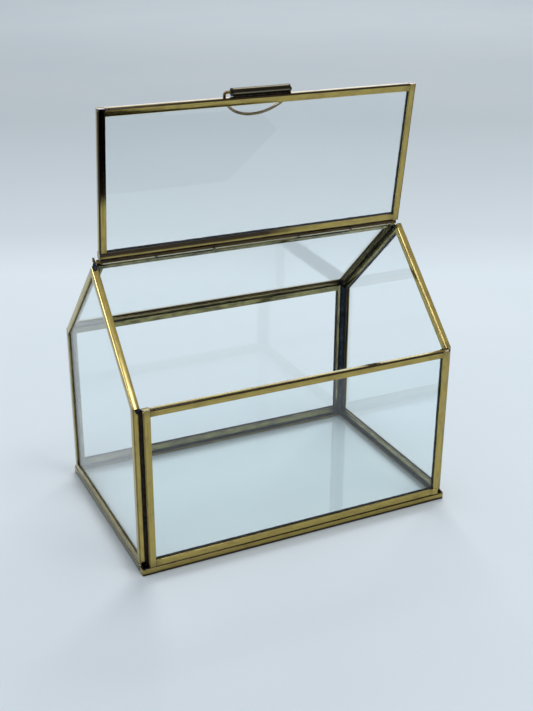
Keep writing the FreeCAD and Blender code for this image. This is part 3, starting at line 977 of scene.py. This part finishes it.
def handle():
    axis = JOINT_AT["bail_pivot"]
    low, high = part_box("handle_tube")
    radius = (high.z - low.z) / 2
    profile = scroll_profile(radius, SCROLL_BORE, SCROLL_SHEET, SCROLL_GAP, SCROLL_SEAM)

    def highlight_line(y, z):
        """Painted highlights: a bright line along the top and a fainter one along the lower front."""
        angle = math.degrees(math.atan2(z, -y)) % 360
        line = max(0.0, 1 - abs(angle - 62) / 16) + 0.28 * max(0.0, 1 - abs(angle - 350) / 12)
        return line if math.hypot(y, z) > radius * 0.74 else 0.0

    rolled_piece("handle_tube", "handle_roll", profile, axis, 4.4, 0.10 * MM, HANDLE_PATINA_AND_REFLECTION, highlight_line)


def bail_wire():
    """The wire bail, a little uneven and slightly thicker than the CAD wire."""
    bm = node_bmesh("bail")
    bmesh.ops.recalc_face_normals(bm, faces=bm.faces)
    bm.normal_update()
    for vertex in bm.verts:
        vertex.co += vertex.normal * (BAIL_GROWTH + 0.05 * MM * noise_at(*(vertex.co / (3 * MM))))
    make_piece("bail_wire", bm, "bail", [WIRE])


# ---------------------------------------------------------------- the object

def build_object():
    for seed, node in enumerate(sorted(frame["nodes"])):
        if "_came_" in node:
            edging(node, seed * 1.7)
        elif node.endswith("_glass"):
            pane(node)
    beads = {
        "floor_seam_solder": (floor_seam, SEAM_SOLDER),
        "inner_corner_solder": (inner_corners, SOLDER),
        "outer_corner_solder": (outer_corners, BLACK_SOLDER),
        "rear_eave_solder": (eave_seam, BLACK_SOLDER),
        "rear_rafter_solder": (rafter_seams, BLACK_SOLDER),
    }
    for node, (build, material) in beads.items():
        bm = build()
        bmesh.ops.recalc_face_normals(bm, faces=bm.faces)
        make_piece(node + "_bead", bm, node, [material], weighted=False)
    for node in ("ridge_knuckle_solder", "lid_knuckle_solder", "apex_solder", "handle_solder"):
        at_apex = node == "apex_solder"
        bm = lumpy(node, (-0.25 if at_apex else 0.12) * MM)
        material = SOLDER if at_apex else BLACK_SOLDER
        make_piece(node + "_bead", bm, node, [material], weighted=False)
    hinge_barrels()
    handle()
    bail_wire()
    frame["nodes"]["hinge_pin"].material_slots[0].material = WIRE


# ---------------------------------------------------------------- studio

FLOOR_RADIUS = 12.0
# Painted light falloff on the table: its brightness against distance away from the camera, in metres from the
# middle of the box.
FLOOR_LIGHT_FALLOFF = ((-0.20, 0.98), (-0.03, 1.0), (0.50, 1.0), (0.68, 0.84), (0.95, 0.74), (1.4, 0.62),
              (2.2, 0.59), (3.0, 0.62))
AIM_OFFSET = Vector((0.00019, -0.01892, -0.0389))     # from the middle of the object to the point aimed at
CAMERA_DISTANCE = 0.82003
CAMERA_AZIMUTH = -25.78
CAMERA_ELEVATION = 23.55
CAMERA_ROLL = 0.37
CAMERA_LENS = 55.66                                    # millimetres, on a 36 mm sensor
SKY_STRENGTH = 0.82
WINDOW_RADIANCE = 1.9                                  # of the window that the upward faces mirror
WINDOW_BAND = (13, 26.9, 0.7)                          # its lowest and highest elevation, and softness
# Mirrored lamps: direction, radius and softness in degrees, and radiance. The first lights the
# rounded corners of both front rafters, and the second the foot of the left one.
SOFTBOXES = (((-0.70, 0.0, 0.70), 11, 2, 17.0), ((0.22, -0.51, 0.83), 7.2, 0.8, 10.0))
LAMP_TINT = (0.62, 0.68, 1.0)                          # daylight, against the brass
# A black card on the table in front of the box, mirrored in the lid: its corners as (x, y).
CARD_OUTLINE = ((-0.46, -0.43), (0.18, -0.43), (0.30, -0.545), (0.30, -0.607), (0.17, -0.612),
                (0.17, -1.35), (-0.46, -1.35))


def make_floor():
    material, tree, shader = new_material("pale_table")
    place = coordinate(tree)
    clouds = noise_texture(tree, place, 3.0, 3)
    grain = noise_texture(tree, place, 900, 3)
    cloudy = ramp(tree, clouds, [(0.35, 0.0), (0.65, 1.0)])
    colour = mix(tree, cloudy, (0.71, 0.765, 0.805), (0.73, 0.78, 0.815))
    axes = add(tree, "ShaderNodeSeparateXYZ", {0: place}).outputs
    sideways = math_node(tree, "MULTIPLY", axes["X"], 0.4)
    depth = math_node(tree, "ADD", sideways, math_node(tree, "MULTIPLY", axes["Y"], 0.9))
    # Painted light falloff across the table
    near, far = FLOOR_LIGHT_FALLOFF[0][0], FLOOR_LIGHT_FALLOFF[-1][0]
    depth = map_range(tree, depth, (near, far), (0.0, 1.0))
    painted_falloff = ramp(tree, depth, [((reach - near) / (far - near), grey) for reach, grey in FLOOR_LIGHT_FALLOFF])
    rough = ramp(tree, clouds, [(0.3, 0.55), (0.7, 0.65)])
    feed(tree, shader, {"Base Color": mix(tree, 1.0, colour, painted_falloff, "MULTIPLY"), "Roughness": rough,
                        "Specular IOR Level": 0.0, "Normal": bump(tree, grain, 0.1, 0.02 * MM)})
    bm = bmesh.new()
    bmesh.ops.create_circle(bm, cap_ends=True, radius=FLOOR_RADIUS, segments=96)
    floor = mesh_object("table_top", bm, [material])
    floor.location.z = -0.02 * MM


def area_light(name, direction, distance, size, radiance, colour=(1, 1, 1)):
    """A soft box seen from the object in a direction; its power follows from its radiance and area."""
    data = bpy.data.lights.new(name, "AREA")
    data.shape = "RECTANGLE"
    data.size, data.size_y = size
    data.energy = radiance * math.pi * size[0] * size[1]
    data.color = colour
    lamp = new_object(name, data)
    lamp.location = CENTRE + Vector(direction).normalized() * distance
    lamp.rotation_euler = (CENTRE - lamp.location).to_track_quat("-Z", "Y").to_euler()
    lamp.visible_camera = False
    lamp.visible_glossy = False
    lamp.visible_transmission = False


def dark_card(name, outline):
    """A black card lying on the table that only reflections see."""
    material, tree, shader = new_material(name)
    clouds = noise_texture(tree, coordinate(tree), 9, 2)
    black = ramp(tree, clouds, [(0.3, 0.004), (0.7, 0.012)])
    feed(tree, shader, {"Base Color": black, "Specular IOR Level": 0.0})
    bm = bmesh.new()
    bm.faces.new([bm.verts.new((x, y, 1 * MM)) for x, y in outline])
    card = mesh_object(name, bm, [material])
    card.visible_camera = False
    card.visible_diffuse = False
    card.visible_shadow = False
    card.visible_transmission = False


def elevation_band(tree, height, low, high, soft):
    """1 between two elevations in degrees, with soft sides."""
    sides = []
    for angle, target in ((low, (0.0, 1.0)), (high, (1.0, 0.0))):
        source = (math.sin(math.radians(angle - soft)), math.sin(math.radians(angle + soft)))
        sides.append(map_range(tree, height, source, target, interpolation_type="SMOOTHSTEP"))
    return math_node(tree, "MULTIPLY", *sides)


def make_world():
    """A pale room; reflections also show its bright window band, pale walls and dimmer ceiling."""
    world = bpy.data.worlds.new("pale_room")
    world.use_nodes = True
    tree = world.node_tree
    plain = tree.nodes["Background"]
    direction_seen = coordinate(tree, "Generated")
    parts = add(tree, "ShaderNodeSeparateXYZ", {0: direction_seen}).outputs
    sky_tones = [(0.0, (0.60, 0.67, 0.74)), (0.35, (0.68, 0.74, 0.80)), (1.0, (0.78, 0.83, 0.88))]
    sky = ramp(tree, parts["Z"], sky_tones)
    feed(tree, plain, {"Color": sky, "Strength": SKY_STRENGTH})

    wall_tones = [(0.0, (0.60, 0.66, 0.72)), (0.60, (0.62, 0.65, 0.66)), (1.0, (0.62, 0.62, 0.60))]
    walls = ramp(tree, parts["Z"], wall_tones)
    behind = map_range(tree, parts["Y"], (0.45, 0.75), (0.0, WINDOW_RADIANCE))
    lamps = math_node(tree, "MULTIPLY", elevation_band(tree, parts["Z"], *WINDOW_BAND), behind)
    for direction, radius, soft, radiance in SOFTBOXES:
        inputs = {0: direction_seen, 1: Vector(direction).normalized()}
        toward = add(tree, "ShaderNodeVectorMath", inputs, operation="DOT_PRODUCT").outputs["Value"]
        rim = (math.cos(math.radians(radius + soft)), math.cos(math.radians(radius - soft)))
        spot = map_range(tree, toward, rim, (0.0, radiance))
        lamps = math_node(tree, "ADD", lamps, spot)
    channels = {index: math_node(tree, "MULTIPLY", lamps, tint) for index, tint in enumerate(LAMP_TINT)}
    glow = mix(tree, 1.0, walls, add(tree, "ShaderNodeCombineColor", channels).outputs[0], "ADD")
    studio = add(tree, "ShaderNodeBackground", {"Color": glow})
    path = add(tree, "ShaderNodeLightPath", {}).outputs
    mirrored = math_node(tree, "MULTIPLY", path["Is Glossy Ray"], path["Is Reflection Ray"])
    through_glass = math_node(tree, "MULTIPLY", path["Is Transmission Ray"],
                              math_node(tree, "GREATER_THAN", path["Glossy Depth"], 0.5))
    mirrored = math_node(tree, "MAXIMUM", mirrored, through_glass)
    both = add(tree, "ShaderNodeMixShader", {0: mirrored, 1: plain.outputs[0], 2: studio.outputs[0]})
    feed(tree, tree.nodes["World Output"], {"Surface": both.outputs[0]})
    bpy.context.scene.world = world


def make_camera():
    azimuth, elevation = math.radians(CAMERA_AZIMUTH), math.radians(CAMERA_ELEVATION)
    back = Vector((math.sin(azimuth) * math.cos(elevation), -math.cos(azimuth) * math.cos(elevation),
                   math.sin(elevation)))
    data = bpy.data.cameras.new("camera")
    data.lens = CAMERA_LENS
    data.sensor_width = 36.0
    camera = new_object("camera", data)
    upright = (-back).to_track_quat("-Z", "Y").to_matrix()
    tilt = Matrix.Rotation(math.radians(CAMERA_ROLL), 3, "Z")
    place = CENTRE + AIM_OFFSET + back * CAMERA_DISTANCE
    camera.matrix_world = Matrix.Translation(place) @ (upright @ tilt).to_4x4()
    bpy.context.scene.camera = camera


def make_studio():
    make_floor()
    make_world()
    area_light("ceiling_softbox", (0.276, -0.351, 0.896), 4.8, (1.3, 1.3), 5.0, (1.0, 0.98, 0.92))
    area_light("rear_softbox", (0.40, 0.60, 0.62), 5.2, (3.0, 2.0), 6.0)
    dark_card("front_dark_card", CARD_OUTLINE)
    bpy.context.scene.view_settings.view_transform = "Standard"


make_camera()
build_object()
make_studio()
